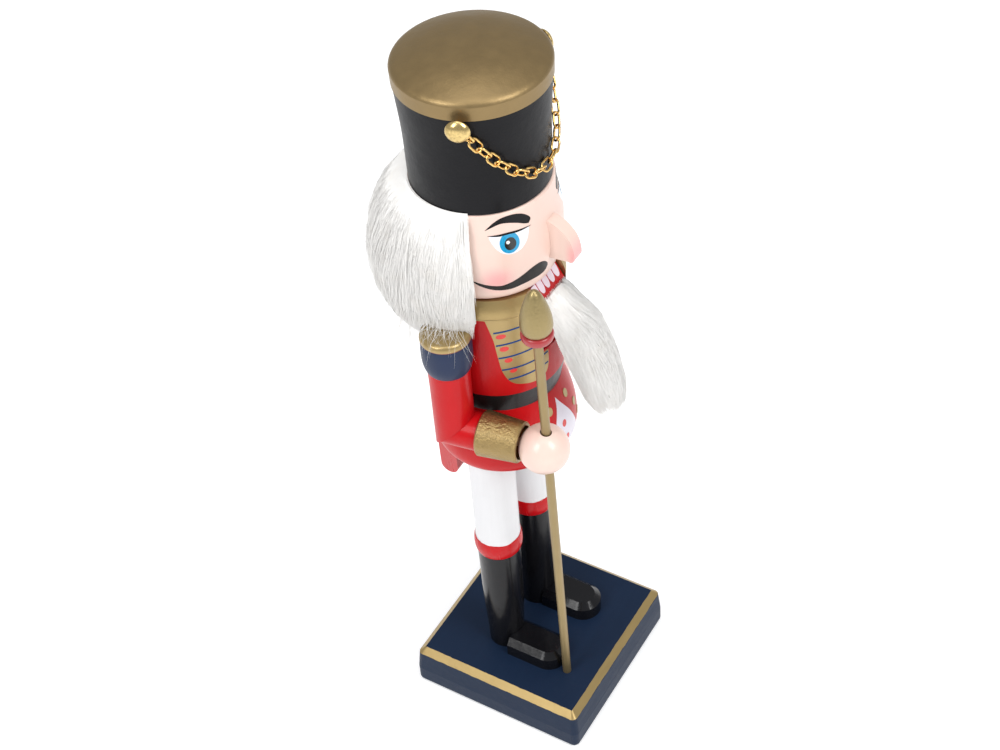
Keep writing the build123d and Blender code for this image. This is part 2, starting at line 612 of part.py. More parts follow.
# hair: a crescent round the back of the head, standing off the head and the collar
HAIR_Y = HEAD_Y + 9.5
HAIR_LOW = 243.0
with BuildPart() as hair:
    with BuildSketch(turning_plane(Vector(0, HAIR_Y, 0), (0, 0, 1))):
        with BuildLine():
            Line((0, 312.6), (28.4, 312.6))
            Spline((28.4, 312.6), (32.0, 309.2), (36.6, 301.0), (40.0, 290.0), (42.3, 278.0),
                   (42.6, 265.5), (40.4, 254.0), (34.8, HAIR_LOW))
            Line((34.8, HAIR_LOW), (0, HAIR_LOW))
            Line((0, HAIR_LOW), (0, 312.6))
        make_face()
    revolve(axis=Axis((0, HAIR_Y, 0), (0, 0, 1)))
    # a thin layer in front of the ears
    with BuildSketch(turning_plane(Vector(0, HEAD_Y, 0), (0, 0, 1))):
        with BuildLine():
            Polyline((0, 250), (36.8, 250), (37.4, 272.0), (37.2, 290.0), (35.8, 304.0),
                     (34.6, 312.6), (0, 312.6), close=True)
        make_face()
    revolve(axis=Axis((0, HEAD_Y, 0), (0, 0, 1)))
    # room for the head, the collar and the back
    with BuildSketch(turning_plane(Vector(0, HEAD_Y, 0), (0, 0, 1))):
        with BuildLine():
            Polyline((0, 200), (34.4, 200), (34.4, 272.0), (34.9, 290.0), (33.2, 320.0),
                     (0, 320.0), close=True)
        make_face()
    revolve(axis=Axis((0, HEAD_Y, 0), (0, 0, 1)), mode=Mode.SUBTRACT)
    # open over the face, thin at the front edges
    with BuildSketch(Plane.XY.offset(200)):
        with BuildLine():
            Polyline((-70, 24.3), (-31.5, -1.0), (0, 8.0), (31.5, -1.0), (70, 24.3),
                     (70, -70), (-70, -70), close=True)
        make_face()
    extrude(amount=130, mode=Mode.SUBTRACT)
    # over the shoulders the hair stops above the epaulettes, behind them it hangs lower
    with Locations((0, HEAD_Y + 12.4, 258.4)):
        Box(140, 80, 60, align=(Align.CENTER, Align.MAX, Align.MAX), mode=Mode.SUBTRACT)
finish(hair, "hair")
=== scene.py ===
"""Looks of the wooden nutcracker figure: paint, fur, camera, light and floor."""

import math

import bpy
import numpy as np
from mathutils import Matrix, Vector
from mathutils.bvhtree import BVHTree
from mathutils.geometry import delaunay_2d_cdt


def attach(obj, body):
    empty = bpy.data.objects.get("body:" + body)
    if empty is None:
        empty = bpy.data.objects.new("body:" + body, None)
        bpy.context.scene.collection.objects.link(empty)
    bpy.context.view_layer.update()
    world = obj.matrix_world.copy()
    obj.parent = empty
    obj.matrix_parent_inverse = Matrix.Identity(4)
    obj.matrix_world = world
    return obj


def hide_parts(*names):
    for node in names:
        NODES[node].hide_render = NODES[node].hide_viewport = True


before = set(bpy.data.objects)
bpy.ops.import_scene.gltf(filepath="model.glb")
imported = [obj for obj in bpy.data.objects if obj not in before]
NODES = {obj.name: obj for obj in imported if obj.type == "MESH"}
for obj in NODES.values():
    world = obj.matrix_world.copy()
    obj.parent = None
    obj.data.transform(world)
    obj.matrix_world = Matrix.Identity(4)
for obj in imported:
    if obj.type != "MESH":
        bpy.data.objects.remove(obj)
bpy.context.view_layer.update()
MM = 0.001
HEAD_Y = 12.5
TORSO_Y = 10.5

# linear colours
RED = (0.50, 0.005, 0.008)
DARK_RED = (0.20, 0.006, 0.010)
NAVY = (0.007, 0.018, 0.045)
# painted light: the shoulder caps get a lighter copy of the navy, as bright as the lit caps look
LIT_CAP_NAVY = (0.020, 0.032, 0.075)
BLACK = (0.006, 0.006, 0.0075)
WHITE = (0.74, 0.74, 0.75)
SKIN = (0.80, 0.59, 0.51)
PINK = (0.86, 0.27, 0.30)
GOLD = (0.40, 0.29, 0.125)
BRASS = (0.70, 0.52, 0.22)
WOOD = (0.62, 0.42, 0.24)
IRIS = (0.006, 0.30, 0.56)
TOOTH = (0.82, 0.70, 0.77)
LINE_BLUE = (0.005, 0.048, 0.18)
FUR = (0.845, 0.832, 0.808)
FUR_WARM = (0.81, 0.775, 0.725)


# ------------------------------------------------------------ node helpers
def value_node(tree, operation, a, b=None, clamp=False):
    """Math node on sockets or numbers."""
    n = tree.nodes.new("ShaderNodeMath")
    n.operation = operation
    n.use_clamp = clamp
    for k, v in enumerate((a, b)):
        if v is None:
            continue
        if isinstance(v, (int, float)):
            n.inputs[k].default_value = v
        else:
            tree.links.new(v, n.inputs[k])
    return n.outputs[0]


def ramp(tree, value, low, high, to_low=0.0, to_high=1.0):
    """Smooth step of a socket from low to high."""
    n = tree.nodes.new("ShaderNodeMapRange")
    n.interpolation_type = "SMOOTHSTEP"
    tree.links.new(value, n.inputs["Value"])
    n.inputs["From Min"].default_value = low
    n.inputs["From Max"].default_value = high
    n.inputs["To Min"].default_value = to_low
    n.inputs["To Max"].default_value = to_high
    return n.outputs["Result"]


def mix_colour(tree, factor, a, b):
    n = tree.nodes.new("ShaderNodeMix")
    n.data_type = "RGBA"
    tree.links.new(factor, n.inputs[0])
    for k, v in ((6, a), (7, b)):
        if isinstance(v, tuple):
            n.inputs[k].default_value = (*v, 1)
        else:
            tree.links.new(v, n.inputs[k])
    return n.outputs[2]


def mix_value(tree, factor, a, b):
    n = tree.nodes.new("ShaderNodeMix")
    n.data_type = "FLOAT"
    tree.links.new(factor, n.inputs[0])
    for k, v in ((2, a), (3, b)):
        if isinstance(v, (int, float)):
            n.inputs[k].default_value = v
        else:
            tree.links.new(v, n.inputs[k])
    return n.outputs[0]


def noise(tree, place, scale, detail=3.0, stretch=None):
    """Noise on the piece's own coordinates; stretch scales x, y and z first."""
    n = tree.nodes.new("ShaderNodeTexNoise")
    n.inputs["Scale"].default_value = scale
    n.inputs["Detail"].default_value = detail
    if stretch:
        m = tree.nodes.new("ShaderNodeMapping")
        m.inputs["Scale"].default_value = stretch
        tree.links.new(place, m.inputs["Vector"])
        place = m.outputs["Vector"]
    tree.links.new(place, n.inputs["Vector"])
    return n.outputs["Fac"]


class Coords:
    """Sockets of a tree's own coordinates, in metres."""

    def __init__(self, tree):
        self.tree = tree
        self.place = tree.nodes.new("ShaderNodeTexCoord").outputs["Object"]
        split = tree.nodes.new("ShaderNodeSeparateXYZ")
        tree.links.new(self.place, split.inputs[0])
        self.x, self.y, self.z = split.outputs
        wave = noise(tree, self.place, 260, 2)
        centred = value_node(tree, "SUBTRACT", wave, 0.5)
        self.wobble = value_node(tree, "MULTIPLY", centred, 0.0005)

    def above(self, z, soft=0.05):
        """Mask of what lies above z mm, with a brushed edge."""
        shaken = value_node(self.tree, "ADD", self.z, self.wobble)
        return ramp(self.tree, shaken, (z - soft) * MM, (z + soft) * MM)

    def between(self, low, high, soft=0.05):
        under = value_node(self.tree, "SUBTRACT", 1.0, self.above(high, soft))
        return value_node(self.tree, "MULTIPLY", self.above(low, soft), under)

    def near(self, point, full, none):
        """Mask round a point in mm: 1 within full mm, 0 beyond none mm."""
        n = self.tree.nodes.new("ShaderNodeVectorMath")
        n.operation = "DISTANCE"
        self.tree.links.new(self.place, n.inputs[0])
        n.inputs[1].default_value = [c * MM for c in point]
        return ramp(self.tree, n.outputs["Value"], full * MM, none * MM, 1.0, 0.0)


def finish_kind(colour, rough, metal=0.0):
    return {"colour": colour, "rough": rough, "metal": metal}


GOLD_PAINT = finish_kind(GOLD, 0.38, 0.80)
LACQUER_RED = finish_kind(RED, 0.32)


def painted(name, base, zones=(), coat=0.35, vary=0.06, bump=0.25, grain=None, flakes=False,
            shine=0.45, relief_depth=0.0004):
    """Brush painted and lacquered wood. zones is a list of (mask maker, finish)."""
    material = bpy.data.materials.new(name)
    material.use_nodes = True
    tree = material.node_tree
    shader = tree.nodes["Principled BSDF"]
    at = Coords(tree)
    colour, rough, metal = base["colour"], base["rough"], base["metal"]
    metals = base["metal"] > 0
    for mask_of, f in zones:
        mask = mask_of(at)
        colour = mix_colour(tree, mask, colour, f["colour"])
        rough = mix_value(tree, mask, rough, f["rough"])
        if f["metal"] > 0 or metals:
            metal = mix_value(tree, mask, metal, f["metal"])
            metals = True
    # clouds and brush marks in the colour
    cloud = noise(tree, at.place, 90, 4)
    fine = noise(tree, at.place, 1500, 3)
    brush = noise(tree, at.place, 420, 4, grain or (1.0, 1.0, 0.12))
    marks = mix_value(tree, cloud, brush, fine) if flakes else brush
    tone = value_node(tree, "ADD", value_node(tree, "MULTIPLY", cloud, vary),
                      value_node(tree, "MULTIPLY", marks, vary))
    tone = value_node(tree, "ADD", tone, 1.0 - vary)
    shade = tree.nodes.new("ShaderNodeHueSaturation")
    if isinstance(colour, tuple):
        shade.inputs["Color"].default_value = (*colour, 1)
    else:
        tree.links.new(colour, shade.inputs["Color"])
    tree.links.new(tone, shade.inputs["Value"])
    tree.links.new(shade.outputs[0], shader.inputs["Base Color"])
    shift = value_node(tree, "MULTIPLY", value_node(tree, "SUBTRACT", marks, 0.5), 0.16)
    tree.links.new(value_node(tree, "ADD", rough, shift, True), shader.inputs["Roughness"])
    if isinstance(metal, (int, float)):
        shader.inputs["Metallic"].default_value = metal
    else:
        tree.links.new(metal, shader.inputs["Metallic"])
    shader.inputs["Coat Weight"].default_value = coat
    shader.inputs["Coat Roughness"].default_value = 0.10
    shader.inputs["Specular IOR Level"].default_value = shine
    # thick paint: soft waves, brush ridges and dust
    height = value_node(tree, "ADD", value_node(tree, "MULTIPLY", brush, 0.55),
                        value_node(tree, "MULTIPLY", fine, 0.25))
    height = value_node(tree, "ADD", height, value_node(tree, "MULTIPLY", cloud, 1.4))
    relief = tree.nodes.new("ShaderNodeBump")
    relief.inputs["Strength"].default_value = bump
    relief.inputs["Distance"].default_value = relief_depth
    tree.links.new(height, relief.inputs["Height"])
    tree.links.new(relief.outputs["Normal"], shader.inputs["Normal"])
    return material


def give(material, *names):
    for n in names:
        mesh = NODES[n].data
        mesh.materials.clear()
        mesh.materials.append(material)


# --------------------------------------------------------- CAD node paints
def base_edge(at):
    """Gold on the chamfer round the top of the board."""
    t = at.tree
    sides = [value_node(t, "SUBTRACT", value_node(t, "ABSOLUTE", c), flat)
             for c, flat in ((at.x, 0.0433), (at.y, 0.0430))]
    reach = value_node(t, "ADD", value_node(t, "MAXIMUM", *sides), at.wobble)
    return value_node(t, "MULTIPLY", ramp(t, reach, -0.00005, 0.00005), at.above(21.2))


give(painted("board_paint", finish_kind(NAVY, 0.46), [(base_edge, GOLD_PAINT)],
             coat=0.0, vary=0.12, bump=0.35, grain=(0.12, 1.0, 1.0), shine=0.16), "base_board")

LEG_ZONES = [
    (lambda at: at.above(105.7), finish_kind(WHITE, 0.34)),
    (lambda at: at.between(95.5, 105.7), finish_kind(RED, 0.25)),
]
give(painted("leg_paint", finish_kind(BLACK, 0.20), LEG_ZONES, coat=0.10, bump=0.30, shine=0.16),
     "leg_right", "leg_left")
give(painted("shoe_gloss", finish_kind(BLACK, 0.16), coat=0.20, bump=0.35, shine=0.20),
     "shoe_right", "shoe_left")


def slot_shade_walls(at):
    """The sawn slot for the jaw board, inside the turned surface, coloured darker as painted
    shade.
    """
    t = at.tree
    narrow = ramp(t, value_node(t, "ABSOLUTE", at.x), 0.01160, 0.01165, 1.0, 0.0)
    back = value_node(t, "ADD", at.y, -TORSO_Y * MM)
    far = value_node(t, "SQRT", value_node(
        t, "ADD", value_node(t, "MULTIPLY", at.x, at.x), value_node(t, "MULTIPLY", back, back)))
    return value_node(t, "MULTIPLY", narrow, ramp(t, far, 0.0272, 0.0278, 1.0, 0.0))


TORSO_ZONES = [
    (lambda at: at.between(201.6, 213.0), finish_kind((0.014, 0.014, 0.015), 0.34)),
    # painted shade: the slot walls are dark red for the shade inside the slot
    (slot_shade_walls, finish_kind(DARK_RED, 0.6)),
    (lambda at: at.above(258.9), GOLD_PAINT),
]
give(painted("torso_paint", LACQUER_RED, TORSO_ZONES, coat=0.09, bump=0.45, shine=0.14), "torso")

# painted light: the navy of the caps is lightened for the light falling on them
CAP_ZONES = [(lambda at: at.above(236.0), finish_kind(LIT_CAP_NAVY, 0.42))]
give(painted("sleeve_paint", LACQUER_RED, CAP_ZONES, coat=0.09, bump=0.35, shine=0.14),
     "upper_arm_right", "upper_arm_left", "forearm_right", "forearm_left")
give(painted("epaulette_paint", finish_kind(DARK_RED, 0.4),
             [(lambda at: at.above(253.5), GOLD_PAINT)], coat=0.2, flakes=True),
     "epaulette_right", "epaulette_left")
CUFF_GOLD = finish_kind((0.34, 0.24, 0.10), 0.36, 0.85)
give(painted("cuff_gold", CUFF_GOLD, coat=0.05, vary=0.22, bump=1.0, flakes=True,
             grain=(1.6, 1.0, 1.6), relief_depth=0.0011), "cuff_right", "cuff_left")
STAFF_GOLD = finish_kind((0.31, 0.232, 0.11), 0.42, 0.72)
FINIAL_GOLD = finish_kind((0.33, 0.255, 0.115), 0.36, 0.75)
give(painted("staff_gold", STAFF_GOLD, coat=0.05, vary=0.16, bump=0.4,
             grain=(1.0, 1.0, 0.04), flakes=True), "staff_rod")
give(painted("finial_gold", FINIAL_GOLD, coat=0.05, vary=0.2,
             bump=0.8, grain=(2.0, 2.0, 2.0), flakes=True), "staff_finial")
give(painted("ring_red", finish_kind((0.36, 0.022, 0.026), 0.35), coat=0.4), "staff_ring")

HAT_GOLD = finish_kind((0.27, 0.19, 0.088), 0.42, 0.80)
HAT_ZONES = [(lambda at: at.above(363.4), HAT_GOLD)]
give(painted("hat_paint", finish_kind(BLACK, 0.40), HAT_ZONES, coat=0.05, vary=0.16,
             bump=0.5, grain=(0.5, 0.5, 0.5), shine=0.12), "hat")


def blush(at):
    """Rouge on both cheeks."""
    a = math.radians(51)
    t = at.tree
    sides = [at.near((s * math.sin(a) * 32.8, HEAD_Y - math.cos(a) * 32.8, 281.6), 0.5, 10.5)
             for s in (-1, 1)]
    return value_node(t, "MULTIPLY", value_node(t, "MAXIMUM", *sides), 0.62)


HEAD_ZONES = [
    (blush, finish_kind(PINK, 0.36)),
    (lambda at: at.between(268.0, 269.7), finish_kind((0.42, 0.05, 0.05), 0.4)),
]
SKIN_FINISH = finish_kind(SKIN, 0.36)
give(painted("face_paint", SKIN_FINISH, HEAD_ZONES, coat=0.25, vary=0.05, bump=0.18), "head")


def nose_tip(at):
    t = at.tree
    front = ramp(t, at.y, -0.0318, -0.0270, 1.0, 0.0)
    low = ramp(t, at.z, 0.2865, 0.2965, 1.0, 0.0)
    return value_node(t, "MULTIPLY", value_node(t, "MULTIPLY", front, low), 0.62)


give(painted("nose_paint", SKIN_FINISH, [(nose_tip, finish_kind(PINK, 0.36))],
             coat=0.25, vary=0.05, bump=0.18), "nose")
give(painted("hand_paint", SKIN_FINISH, coat=0.3, vary=0.05, bump=0.15),
     "hand_right", "hand_left")


def lip(at):
    """Dark line along the top of the jaw."""
    return at.above(267.1, 0.08)


give(painted("jaw_paint", finish_kind(RED, 0.28), [(lip, finish_kind(DARK_RED, 0.35))],
             coat=0.5), "jaw_lever")
give(painted("dowel_wood", finish_kind(WOOD, 0.6), coat=0.0, vary=0.25, bump=0.4,
             grain=(3.0, 3.0, 0.15)),
     "neck_dowels", "hat_dowel", "shoulder_dowels", "elbow_dowels", "hand_dowels")


def metal(name, colour, rough, scale):
    """Plated metal with fine handling marks."""
    material = bpy.data.materials.new(name)
    material.use_nodes = True
    tree = material.node_tree
    shader = tree.nodes["Principled BSDF"]
    at = Coords(tree)
    cloud = noise(tree, at.place, scale, 4)
    dull = tuple(c * 0.72 for c in colour)
    tree.links.new(mix_colour(tree, ramp(tree, cloud, 0.35, 0.7), colour, dull),
                   shader.inputs["Base Color"])
    tree.links.new(ramp(tree, cloud, 0.3, 0.75, rough * 0.75, rough * 1.5),
                   shader.inputs["Roughness"])
    shader.inputs["Metallic"].default_value = 1.0
    relief = tree.nodes.new("ShaderNodeBump")
    relief.inputs["Strength"].default_value = 0.15
    relief.inputs["Distance"].default_value = 0.0001
    tree.links.new(noise(tree, at.place, scale * 3, 3), relief.inputs["Height"])
    tree.links.new(relief.outputs["Normal"], shader.inputs["Normal"])
    return material


give(metal("nail_brass", BRASS, 0.22, 700), "hat_tacks")
give(metal("chain_gilt", (0.95, 0.62, 0.22), 0.16, 1200), "hat_chain")
give(metal("pin_steel", (0.55, 0.55, 0.57), 0.3, 900), "lever_pin")


# --------------------------------------------------------- films of paint
def make_object(name, verts, faces, material, body, smooth_angle=40):
    mesh = bpy.data.meshes.new(name)
    mesh.from_pydata([tuple(v) for v in verts], [], faces)
    mesh.materials.append(material)
    mesh.validate()
    for p in mesh.polygons:
        p.use_smooth = True
    mesh.set_sharp_from_angle(angle=math.radians(smooth_angle))
    obj = bpy.data.objects.new(name, mesh)
    bpy.context.scene.collection.objects.link(obj)
    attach(obj, body)
    return obj


def tree_of(name):
    mesh = NODES[name].data
    return BVHTree.FromPolygons([v.co.copy() for v in mesh.vertices],
                                [tuple(p.vertices) for p in mesh.polygons])


def on_turned(node, axis_y, radius):
    """Maker of surface points of a turned piece: s mm round it at that radius, z mm up."""
    tree = tree_of(node)

    def place(s, z):
        a = s / radius
        out = Vector((math.sin(a), -math.cos(a), 0))
        start = Vector((0, axis_y * MM, z * MM)) + out * 0.06
        hit, normal, _, _ = tree.ray_cast(start, -out)
        if hit is None:
            raise ValueError(f"no surface of {node} at {s}, {z}")
        return hit, out
    return place


def smooth(points, per=6):
    """Catmull-Rom curve through open points."""
    p = np.array([2 * np.array(points[0]) - np.array(points[1]), *map(np.array, points),
                  2 * np.array(points[-1]) - np.array(points[-2])], float)
    out = []
    for i in range(1, len(p) - 2):
        for k in range(per):
            t = k / per
            out.append(0.5 * (2 * p[i] + (p[i + 1] - p[i - 1]) * t
                              + (2 * p[i - 1] - 5 * p[i] + 4 * p[i + 1] - p[i + 2]) * t * t
                              + (3 * p[i] - p[i - 1] - 3 * p[i + 1] + p[i + 2]) * t ** 3))
    out.append(p[-2])
    return out


def outline_of(*curves):
    """Closed outline from curves that meet end to end. Two-point curves stay straight."""
    out = []
    for c in curves:
        pts = [np.array(c[0], float), np.array(c[1], float)] if len(c) == 2 else smooth(c)
        out += pts[:-1]
    return out


def oval(centre, rx, ry, count=28, turn=0.0):
    c, s = math.cos(turn), math.sin(turn)
    out = []
    for k in range(count):
        a = 2 * math.pi * k / count
        u, v = rx * math.cos(a), ry * math.sin(a)
        out.append(np.array((centre[0] + u * c - v * s, centre[1] + u * s + v * c)))
    return out


def inside(points, outline, margin):
    """Which points lie inside the outline, at least margin away from it."""
    a = np.array(outline)
    b = np.roll(a, -1, axis=0)
    keep = []
    for p in points:
        cross = ((a[:, 1] > p[1]) != (b[:, 1] > p[1]))
        dy = np.where(b[:, 1] == a[:, 1], 1e-12, b[:, 1] - a[:, 1])
        xs = a[:, 0] + (p[1] - a[:, 1]) * (b[:, 0] - a[:, 0]) / dy
        if np.count_nonzero(cross & (xs > p[0])) % 2 == 0:
            continue
        d = b - a
        t = np.clip(((p - a) * d).sum(1) / np.maximum((d * d).sum(1), 1e-12), 0, 1)
        if np.min(np.linalg.norm(a + d * t[:, None] - p, axis=1)) > margin:
            keep.append(p)
    return keep


def film(name, outline, place, material, body, lift, step=0.9):
    """Thin closed film of paint with that outline on a surface, lift mm thick."""
    low, high = np.min(outline, axis=0), np.max(outline, axis=0)
    grid = [np.array((x, y)) for x in np.arange(low[0] + step / 2, high[0], step)
            for y in np.arange(low[1] + step / 2, high[1], step)]
    points = list(outline) + inside(grid, outline, step * 0.35)
    flat, _, faces, _, _, _ = delaunay_2d_cdt(
        [Vector((float(p[0]), float(p[1]))) for p in points], [],
        [list(range(len(outline)))], 1, 1e-6)
    tops, feet = [], []
    for p in flat:
        at, out = place(p.x, p.y)
        tops.append(at + out * lift * MM)
        feet.append(at - out * 0.03 * MM)
    n = len(flat)
    solid, uses = [], {}
    for f in faces:
        a, b, c = (flat[i] for i in f[:3])
        if (b - a).cross(c - a) < 0:
            f = list(reversed(f))
        solid.append(tuple(f))
        solid.append(tuple(i + n for i in reversed(f)))
        for i, j in zip(f, list(f[1:]) + [f[0]]):
            uses[(i, j)] = 1
    for i, j in list(uses):
        if (j, i) not in uses:
            solid.append((i, i + n, j + n, j))
    return make_object(name, tops + feet, solid, material, body)


def by_angle(points, radius):
    """(degrees, z) to (mm round, z)."""
    return [(math.radians(a) * radius, z) for a, z in points]


HEAD_R = 33.0
on_head = on_turned("head", HEAD_Y, HEAD_R)
brow_black = painted("brow_black", finish_kind((0.007, 0.007, 0.008), 0.34), coat=0.06,
                     shine=0.14)
moustache_black = painted("moustache_black", finish_kind((0.011, 0.010, 0.010), 0.34),
                          coat=0.06, vary=0.3, shine=0.14)
eye_white = painted("eye_white", finish_kind((0.82, 0.83, 0.88), 0.3), coat=0.4, vary=0.03)
iris_blue = painted("iris_blue", finish_kind(IRIS, 0.28), coat=0.4, vary=0.10)
pupil_black = painted("pupil_black", finish_kind((0.006, 0.006, 0.007), 0.22), coat=0.5)
glint_white = painted("glint_white", finish_kind((0.9, 0.9, 0.92), 0.3), vary=0.02)

BROW = ([(-57.1, 307.9), (-51.0, 310.9), (-44.0, 312.9), (-35.0, 313.2), (-27.0, 311.8),
         (-21.3, 309.2), (-20.2, 307.6), (-22.3, 306.1)],
        [(-22.3, 306.1), (-26.0, 306.8), (-32.0, 308.5), (-39.5, 309.9), (-45.5, 310.2),
         (-51.5, 309.2), (-57.1, 307.9)])
LID = ([(-55.4, 305.3), (-47.5, 305.3), (-39.8, 305.4), (-31.8, 305.1), (-20.7, 304.7)],
       [(-20.7, 304.7), (-31.8, 304.3), (-39.8, 304.6), (-47.5, 304.5), (-55.4, 305.3)])
SCLERA = ([(-54.6, 304.9), (-39.8, 304.9), (-31.8, 304.6), (-22.5, 304.4)],
          [(-22.5, 304.4), (-24.4, 301.1), (-26.9, 298.5), (-31.0, 296.3), (-36.1, 295.2),
           (-41.7, 295.4), (-46.9, 297.0), (-51.0, 299.9), (-53.7, 303.0), (-54.6, 304.9)])
MOUSTACHE = ([(-70.5, 283.3), (-66.7, 281.8), (-58.8, 279.6), (-49.6, 278.1), (-43.8, 278.4),
              (-37.0, 279.7), (-30.0, 281.7), (-23.7, 283.4), (-16.7, 283.8), (-11.2, 282.4),
              (-7.5, 280.1), (-6.2, 278.1)],
             [(-6.2, 278.1), (-8.2, 275.9), (-13.3, 275.2), (-22.4, 275.4), (-31.5, 275.2),
              (-39.8, 274.7), (-48.7, 275.2), (-57.2, 276.9), (-65.1, 279.8), (-70.5, 283.3)])


def iris_outline(side):
    """Disc cut off by the eyelid."""
    cx, cz = math.radians(-39.6) * HEAD_R, 300.6
    out = []
    for x, z in oval((cx, cz), 4.35, 4.9, 40, 0.12):
        out.append((x * side, min(z, 304.6)))
    return out


for tag, side in (("right", 1), ("left", -1)):
    def turned_outline(curves):
        return outline_of(*[[(x * side, z) for x, z in by_angle(c, HEAD_R)] for c in curves])
    film(f"eye_white_{tag}", turned_outline(SCLERA), on_head, eye_white, "figure",
         0.06)
    film(f"iris_{tag}", iris_outline(side), on_head, iris_blue, "figure", 0.10)
    px = math.radians(-39.2) * HEAD_R * side
    film(f"pupil_{tag}", oval((px, 300.1), 2.55, 2.95), on_head, pupil_black, "figure",
         0.14)
    gx = math.radians(-40.9) * HEAD_R * side
    film(f"glint_{tag}", oval((gx, 301.0), 0.8, 0.78, 16), on_head, glint_white, "figure",
         0.18)
    film(f"eyelid_{tag}", turned_outline(LID), on_head, brow_black, "figure", 0.17)
    film(f"brow_{tag}", turned_outline(BROW), on_head, brow_black, "figure", 0.12)
    film(f"moustache_{tag}", turned_outline(MOUSTACHE), on_head, moustache_black, "figure",
         0.14)

# ------------------------------------------------------ coat front and skirt
CHEST_R = 30.5
on_torso = on_turned("torso", TORSO_Y, CHEST_R)
panel_gold = painted("panel_gold", GOLD_PAINT, coat=0.15, vary=0.12, bump=0.35, flakes=True,
                     grain=(1.0, 1.0, 0.3))
line_blue = painted("line_blue", finish_kind(LINE_BLUE, 0.45), coat=0.0, vary=0.15, shine=0.15)
dot_red = painted("dot_red", finish_kind((0.66, 0.025, 0.018), 0.35), coat=0.3)
button_gold = painted("button_gold", finish_kind((0.40, 0.30, 0.13), 0.42, 0.55), coat=0.2,
                      vary=0.12, flakes=True)
flap_white = painted("flap_white", finish_kind((0.72, 0.68, 0.76), 0.35), coat=0.3, vary=0.05)

PANEL = ([(-66.8, 260.05), (-63.8, 254.0), (-60.8, 247.3), (-59.2, 240.4), (-57.0, 231.7),
          (-55.4, 227.7), (-51.6, 223.0), (-46.4, 220.0), (-40.0, 218.5), (-30.8, 217.3),
          (-22.0, 217.3), (-15.5, 219.0), (-12.6, 223.5), (-12.6, 232.0)],
         [(-12.6, 232.0), (-22.9, 232.4)],
         [(-22.9, 232.4), (-22.7, 260.05)],
         [(-22.7, 260.05), (-66.8, 260.05)])
STRIPES = ((-60.4, -23.2, 251.9, 254.4), (-59.2, -23.2, 244.3, 246.6),
           (-57.9, -23.4, 236.6, 238.3), (-56.0, -13.2, 229.2, 230.6),
           (-51.2, -13.2, 223.0, 224.3))
DOTS = ((-54.7, 249.6, 2.2, 1.35), (-52.8, 242.0, 2.05, 1.45), (-50.0, 234.8, 1.8, 1.3),
        (-46.5, 228.0, 1.7, 1.15))
FLAP = ([(-4.5, 197.6), (-6.1, 193.9), (-8.4, 190.5), (-12.2, 185.2), (-16.6, 177.5),
         (-20.5, 167.6)],
        [(-20.5, 167.6), (20.0, 167.6)],
        [(20.0, 167.6), (15.5, 175.5), (8.9, 184.2), (3.7, 189.6), (-0.6, 193.6), (-4.5, 197.6)])
BUTTONS = ((-15.6, 193.6), (-25.0, 184.4), (-32.0, 175.0), (10.3, 194.2), (19.3, 184.7),
           (26.5, 175.2))

for tag, side in (("right", 1), ("left", -1)):
    def coat(curves):
        return outline_of(*[[(x * side, z) for x, z in by_angle(c, CHEST_R)] for c in curves])
    film(f"chest_panel_{tag}", coat(PANEL), on_torso, panel_gold, "figure", 0.07)
    for k, (a0, a1, z0, z1) in enumerate(STRIPES):
        w = 0.47
        top = [(a0, z0 + w), ((a0 + a1) / 2, (z0 + z1) / 2 + w), (a1, z1 + w)]
        low = [(a1, z1 - w), ((a0 + a1) / 2, (z0 + z1) / 2 - w), (a0, z0 - w)]
        film(f"stripe_{tag}_{k}", coat([top, [top[-1], low[0]], low, [low[-1], top[0]]]),
             on_torso, line_blue, "figure", 0.12, 0.6)
    for k, (a, z, rx, rz) in enumerate(DOTS):
        centre = (math.radians(a) * CHEST_R * side, z)
        film(f"dot_{tag}_{k}", oval(centre, rx, rz, 24, 0.15 * side), on_torso, dot_red,
             "figure", 0.13)
film("skirt_flap", outline_of(*[by_angle(c, CHEST_R) for c in FLAP]), on_torso, flap_white,
     "figure", 0.07)
for k, (a, z) in enumerate(BUTTONS):
    film(f"button_{k}", oval((math.radians(a) * CHEST_R, z), 1.75, 2.15), on_torso,
         button_gold, "figure", 0.30)
for k, (a, z) in enumerate(((-3.1, 182.4), (-1.0, 173.0))):
    film(f"flap_dot_{k}", oval((math.radians(a) * CHEST_R, z), 1.35, 2.0), on_torso, dot_red,
         "figure", 0.12)

# --------------------------------------------------------------------- teeth
JAW_TOP = Vector((0, -13.8, 267.9))
JAW_FOOT = Vector((0, -22.3, 253.6))
JAW_DOWN = (JAW_FOOT - JAW_TOP).normalized()
JAW_OUT = JAW_DOWN.cross(Vector((1, 0, 0))).normalized()
if JAW_OUT.y > 0:
    JAW_OUT = -JAW_OUT


def on_jaw(x, up):
    """Jaw front: x mm to the left, up mm is minus the way down the slope."""
    return (JAW_TOP + Vector((x, 0, 0)) - JAW_DOWN * up) * MM, JAW_OUT


tooth_white = painted("tooth_white", finish_kind(TOOTH, 0.25), coat=0.5, vary=0.05)
for k in range(5):
    cx = (k - 2) * 4.1
    w = 1.72
    shape = outline_of([(cx - w, -1.2), (cx - w * 0.8, -0.75), (cx + w * 0.8, -0.75),
                        (cx + w, -1.2), (cx + w, -4.6), (cx + w * 0.55, -6.7), (cx, -7.1),
                        (cx - w * 0.55, -6.7), (cx - w, -4.6), (cx - w, -1.2)])
    film(f"tooth_{k}", shape, on_jaw, tooth_white, "jaw", 0.22, 0.7)


